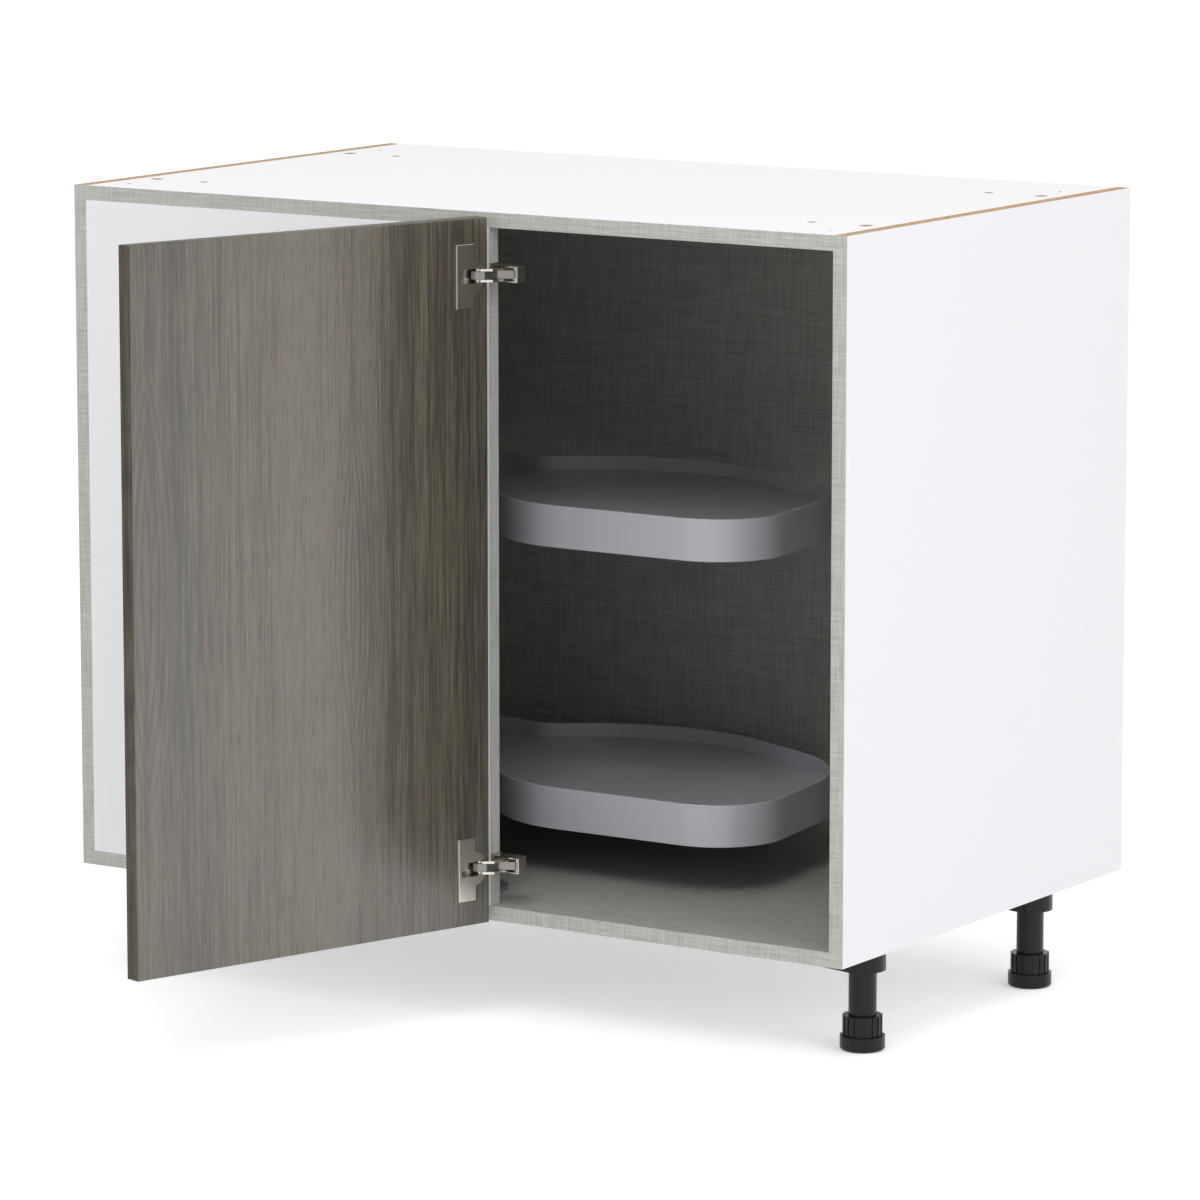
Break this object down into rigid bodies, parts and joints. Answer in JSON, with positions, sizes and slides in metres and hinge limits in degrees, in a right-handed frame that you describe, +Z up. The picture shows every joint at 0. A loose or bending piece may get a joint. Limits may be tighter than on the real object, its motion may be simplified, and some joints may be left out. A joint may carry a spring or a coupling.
{
  "type": "blind corner base cabinet",
  "caption": "Base cabinet for a blind kitchen corner, with a fixed front panel, a hinged wood-grain door, swing-out kidney trays on a column and levelling legs.",
  "frame": {"origin": "on the floor, below the middle of the carcass's back face", "axes": "+X to the right seen from the front, +Y to the wall behind, +Z up"},
  "size_m": [0.9906, 1.0556, 0.8763],
  "materials": {
    "white_board": "satin white melamine on particleboard",
    "linen_board": "grey linen-weave melamine on particleboard",
    "edge_tape": "grey linen-weave edge banding",
    "beech": "plain fluted dowel wood",
    "zinc": "zinc plated",
    "leg_plastic": "satin black moulded plastic",
    "screw_steel": "bright zinc plated",
    "column_steel": "polished tube",
    "fitting_plastic": "satin moulded plastic",
    "tray_plastic": "satin grey moulded plastic",
    "arm_steel": "grey powder coat",
    "bush_plastic": "plain bearing plastic",
    "door_board": "grey-brown wood grain, satin",
    "hinge_nickel": "nickel plated"
  },
  "bodies": {
    "carcass": {"back_panel": "linen_board", "blind_panel": "white_board", "bottom_panel": "linen_board", "cam_bolts": "zinc", "cam_locks": "zinc", "column_bottom_socket": "fitting_plastic", "column_post": "column_steel", "column_screws": "screw_steel", "column_top_socket": "fitting_plastic", "edge_tape": "edge_tape", "hinge_arm_pins": "hinge_nickel", "hinge_arm_screws": "screw_steel", "left_gable": "white_board", "leg_screws": "screw_steel", "leg_socket_back_left": "leg_plastic", "leg_socket_back_right": "leg_plastic", "leg_socket_front_left": "leg_plastic", "leg_socket_front_right": "leg_plastic", "leg_tube_back_left": "leg_plastic", "leg_tube_back_right": "leg_plastic", "leg_tube_front_left": "leg_plastic", "leg_tube_front_right": "leg_plastic", "lower_collar": "fitting_plastic", "lower_hinge_arm": "hinge_nickel", "panel_dowels": "beech", "right_gable": "white_board", "top_panel": "white_board", "upper_collar": "fitting_plastic", "upper_hinge_arm": "hinge_nickel"},
    "door": {"door_panel": "door_board", "hinge_cup_pins": "hinge_nickel", "hinge_cup_screws": "screw_steel", "lower_hinge_cup": "hinge_nickel", "upper_hinge_cup": "hinge_nickel"},
    "levelling_foot_back_left": {"foot_back_left": "leg_plastic"},
    "levelling_foot_back_right": {"foot_back_right": "leg_plastic"},
    "levelling_foot_front_left": {"foot_front_left": "leg_plastic"},
    "levelling_foot_front_right": {"foot_front_right": "leg_plastic"},
    "hinge_bars": {"lower_bar_link": "hinge_nickel", "upper_bar_link": "hinge_nickel"},
    "hinge_forks": {"lower_fork_link": "hinge_nickel", "upper_fork_link": "hinge_nickel"},
    "lower_tray_set": {"lower_tray": "tray_plastic", "lower_tray_arm": "arm_steel", "lower_tray_bush": "bush_plastic", "lower_tray_screws": "screw_steel"},
    "upper_tray_set": {"upper_tray": "tray_plastic", "upper_tray_arm": "arm_steel", "upper_tray_bush": "bush_plastic", "upper_tray_screws": "screw_steel"}
  },
  "joints": [
    {"name": "fork_swing", "type": "hinge", "parent": "carcass", "child": "hinge_forks", "pos_m": [0.08007, -0.59292, 0.495], "axis": [0, 0, -1], "range_deg": [-0.8, 36.1]},
    {"name": "bar_swing", "type": "hinge", "parent": "carcass", "child": "hinge_bars", "pos_m": [0.08909, -0.60281, 0.495], "axis": [0, 0, -1], "range_deg": [-0.7, 27.8]},
    {"name": "door_swing", "type": "hinge", "parent": "hinge_forks", "child": "door", "pos_m": [0.05914, -0.62951, 0.495], "axis": [0, 0, -1], "range_deg": [-143.76, 2.9]},
    {"name": "upper_tray_swing", "type": "hinge", "parent": "carcass", "child": "upper_tray_set", "pos_m": [-0.005, -0.537, 0.495], "axis": [0, 0, -1], "range_deg": [0, 85]},
    {"name": "lower_tray_swing", "type": "hinge", "parent": "carcass", "child": "lower_tray_set", "pos_m": [-0.005, -0.537, 0.495], "axis": [0, 0, -1], "range_deg": [0, 85]},
    {"name": "front_left_foot_height", "type": "slide", "parent": "carcass", "child": "levelling_foot_front_left", "axis": [0, 0, -1], "range_m": [-0.005, 0.015]},
    {"name": "front_right_foot_height", "type": "slide", "parent": "carcass", "child": "levelling_foot_front_right", "axis": [0, 0, -1], "range_m": [-0.005, 0.015]},
    {"name": "back_left_foot_height", "type": "slide", "parent": "carcass", "child": "levelling_foot_back_left", "axis": [0, 0, -1], "range_m": [-0.005, 0.015]},
    {"name": "back_right_foot_height", "type": "slide", "parent": "carcass", "child": "levelling_foot_back_right", "axis": [0, 0, -1], "range_m": [-0.005, 0.015]}
  ],
  "couplings": [
    {"joint": "fork_swing", "follows": "door_swing", "ratio": -0.25016},
    {"joint": "bar_swing", "follows": "door_swing", "ratio": -0.19242}
  ]
}
